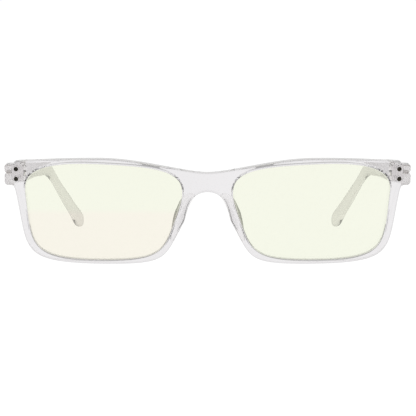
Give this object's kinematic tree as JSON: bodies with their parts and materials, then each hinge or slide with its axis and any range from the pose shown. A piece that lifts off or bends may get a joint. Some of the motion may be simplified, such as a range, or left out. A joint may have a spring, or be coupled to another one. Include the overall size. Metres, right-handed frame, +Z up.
{
  "type": "blue light glasses",
  "caption": "Rectangular clear-framed glasses with pale filter lenses, bonded nose pads and folding temples on riveted hinges.",
  "frame": {"origin": "under the middle of the glasses, on the flat surface that they stand on with the temples open", "axes": "+Z up, +Y from the front back along the temples, +X to the right as the front is seen, with the hinges and temples at plus and minus X"},
  "size_m": [0.139, 0.142, 0.0364],
  "materials": {
    "clear_plastic": "clear, polished",
    "filter_lens": "clear, pale yellow-green tint, coated",
    "dark_metal": "dark, polished",
    "hinge_metal": "satin nickel silver"
  },
  "bodies": {
    "front": {"front_frame": "clear_plastic", "lens_right": "filter_lens", "lens_left": "filter_lens", "nose_pad_right": "clear_plastic", "nose_pad_left": "clear_plastic", "front_rivet_upper_right": "dark_metal", "front_rivet_upper_left": "dark_metal", "front_rivet_lower_right": "dark_metal", "front_rivet_lower_left": "dark_metal", "front_hinge_plate_right": "hinge_metal", "front_hinge_plate_left": "hinge_metal", "hinge_screw_right": "hinge_metal", "hinge_screw_left": "hinge_metal"},
    "right_temple": {"temple_right": "clear_plastic", "temple_hinge_plate_right": "hinge_metal", "temple_rivet_front_right": "hinge_metal", "temple_rivet_rear_right": "hinge_metal"},
    "left_temple": {"temple_left": "clear_plastic", "temple_hinge_plate_left": "hinge_metal", "temple_rivet_front_left": "hinge_metal", "temple_rivet_rear_left": "hinge_metal"}
  },
  "joints": [
    {"name": "right_temple_fold", "type": "hinge", "parent": "front", "child": "right_temple", "pos_m": [0.0633, -0.06173, 0.03125], "axis": [0, 0, 1], "range_deg": [0, 84]},
    {"name": "left_temple_fold", "type": "hinge", "parent": "front", "child": "left_temple", "pos_m": [-0.0633, -0.06173, 0.03125], "axis": [0, 0, -1], "range_deg": [0, 69]}
  ]
}
